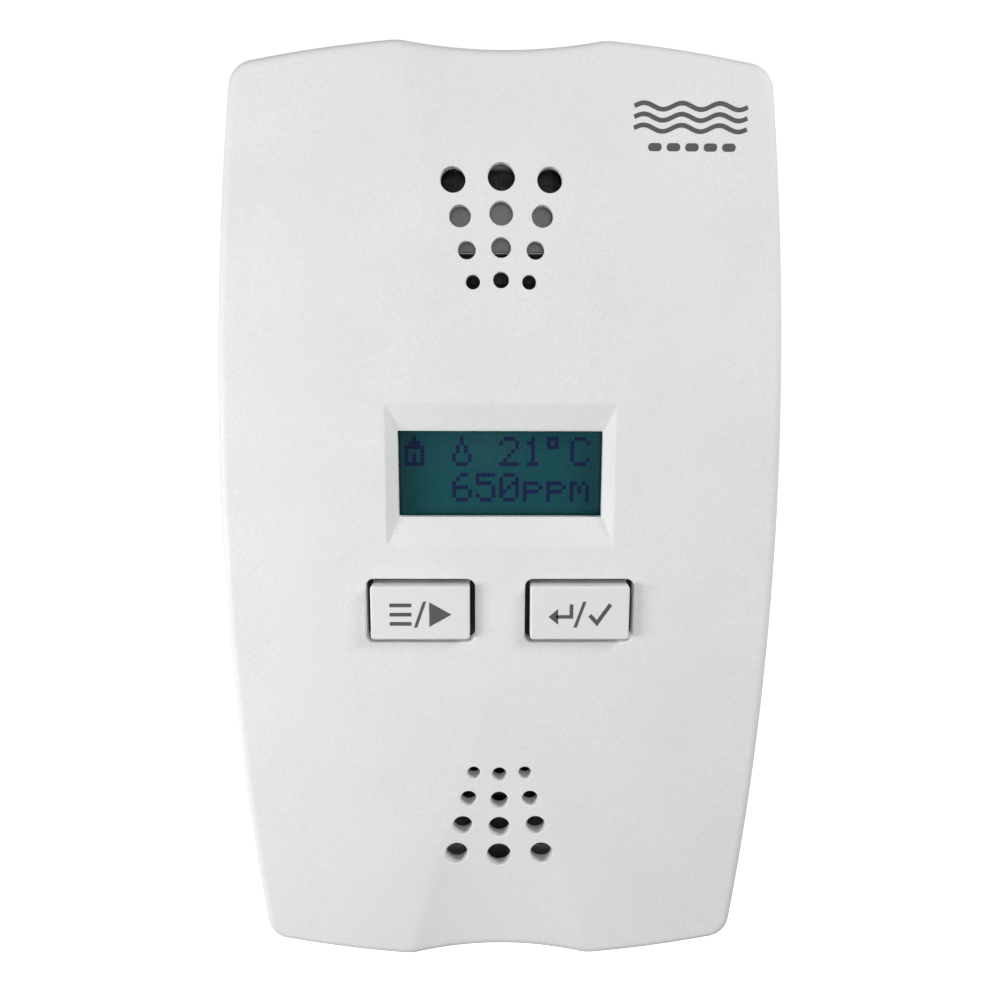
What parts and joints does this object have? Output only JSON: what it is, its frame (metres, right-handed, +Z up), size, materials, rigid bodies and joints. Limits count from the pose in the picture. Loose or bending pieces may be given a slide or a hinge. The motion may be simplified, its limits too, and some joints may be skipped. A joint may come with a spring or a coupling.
{
  "type": "air quality monitor",
  "caption": "Wall-mounted indoor air quality monitor: bowed cover with vent channels, character display, push buttons, sensors and boards, on a wall plate it hooks to.",
  "frame": {"origin": "centre of the wall plate's rear face, which lies on the wall", "axes": "+Z up, +Y into the wall (the front faces -Y), +X to the viewer's right"},
  "size_m": [0.084, 0.0322, 0.1406],
  "materials": {
    "housing_plastic": "fine spark texture, cool light grey",
    "keycap_plastic": "smooth satin, light grey",
    "plate_plastic": "satin moulded",
    "dark_board": "black solder mask, satin",
    "green_board": "green solder mask, satin",
    "screw_steel": "zinc plated",
    "bezel_steel": "plain pressed sheet",
    "lcd_glass": "dark teal display with navy dots, glossy",
    "diffuser_plastic": "milky",
    "black_plastic": "satin moulded",
    "grey_plastic": "satin moulded",
    "white_plastic": "satin moulded",
    "relay_plastic": "moulded",
    "capacitor_aluminium": "drawn can",
    "ferrite": "sintered, matte",
    "terminal_plastic": "moulded",
    "terminal_brass": "plain"
  },
  "bodies": {
    "base": {"back_plate": "plate_plastic"},
    "front": {"front_cover": "housing_plastic", "main_board": "dark_board", "board_screw_1": "screw_steel", "board_screw_2": "screw_steel", "board_screw_3": "screw_steel", "board_screw_4": "screw_steel", "left_switch_body": "black_plastic", "right_switch_body": "black_plastic", "left_lcd_spacer": "white_plastic", "right_lcd_spacer": "white_plastic", "lcd_bezel": "bezel_steel", "lcd_glass": "lcd_glass", "lcd_backlight": "diffuser_plastic", "lcd_board": "green_board", "lcd_header": "black_plastic", "co2_board": "dark_board", "co2_chamber": "grey_plastic", "co2_membrane": "white_plastic", "co2_ledge": "white_plastic", "co2_lamp": "grey_plastic", "co2_header": "black_plastic", "voc_sensor_base": "black_plastic", "voc_sensor_can": "bezel_steel", "humidity_sensor": "black_plastic", "microcontroller": "black_plastic", "crystal": "bezel_steel", "buzzer": "black_plastic", "relay": "relay_plastic", "left_capacitor": "capacitor_aluminium", "right_capacitor": "capacitor_aluminium", "inductor": "ferrite", "regulator": "black_plastic", "fuse": "black_plastic", "terminal_header": "terminal_plastic", "terminal_plug": "terminal_plastic", "terminal_screw_1": "terminal_brass", "terminal_screw_2": "terminal_brass", "terminal_screw_3": "terminal_brass", "terminal_screw_4": "terminal_brass", "terminal_screw_5": "terminal_brass", "terminal_screw_6": "terminal_brass"},
    "left_button": {"left_keycap": "keycap_plastic"},
    "right_button": {"right_keycap": "keycap_plastic"},
    "left_plunger": {"left_switch_plunger": "black_plastic"},
    "right_plunger": {"right_switch_plunger": "black_plastic"}
  },
  "joints": [
    {"name": "cover_hinge", "type": "hinge", "parent": "base", "child": "front", "pos_m": [0, -0.0044, 0.0683], "axis": [-1, 0, 0], "range_deg": [0, 25]},
    {"name": "left_button_press", "type": "slide", "parent": "front", "child": "left_button", "axis": [0, 1, 0], "range_m": [0, 0.0005], "stiffness_N_per_m": 3000, "springref_m": -0.0003},
    {"name": "right_button_press", "type": "slide", "parent": "front", "child": "right_button", "axis": [0, 1, 0], "range_m": [0, 0.0005], "stiffness_N_per_m": 3000, "springref_m": -0.0003},
    {"name": "left_plunger_press", "type": "slide", "parent": "front", "child": "left_plunger", "axis": [0, 1, 0], "range_m": [0, 0.0005]},
    {"name": "right_plunger_press", "type": "slide", "parent": "front", "child": "right_plunger", "axis": [0, 1, 0], "range_m": [0, 0.0005]}
  ],
  "couplings": [
    {"joint": "left_plunger_press", "follows": "left_button_press", "ratio": 1},
    {"joint": "right_plunger_press", "follows": "right_button_press", "ratio": 1}
  ]
}
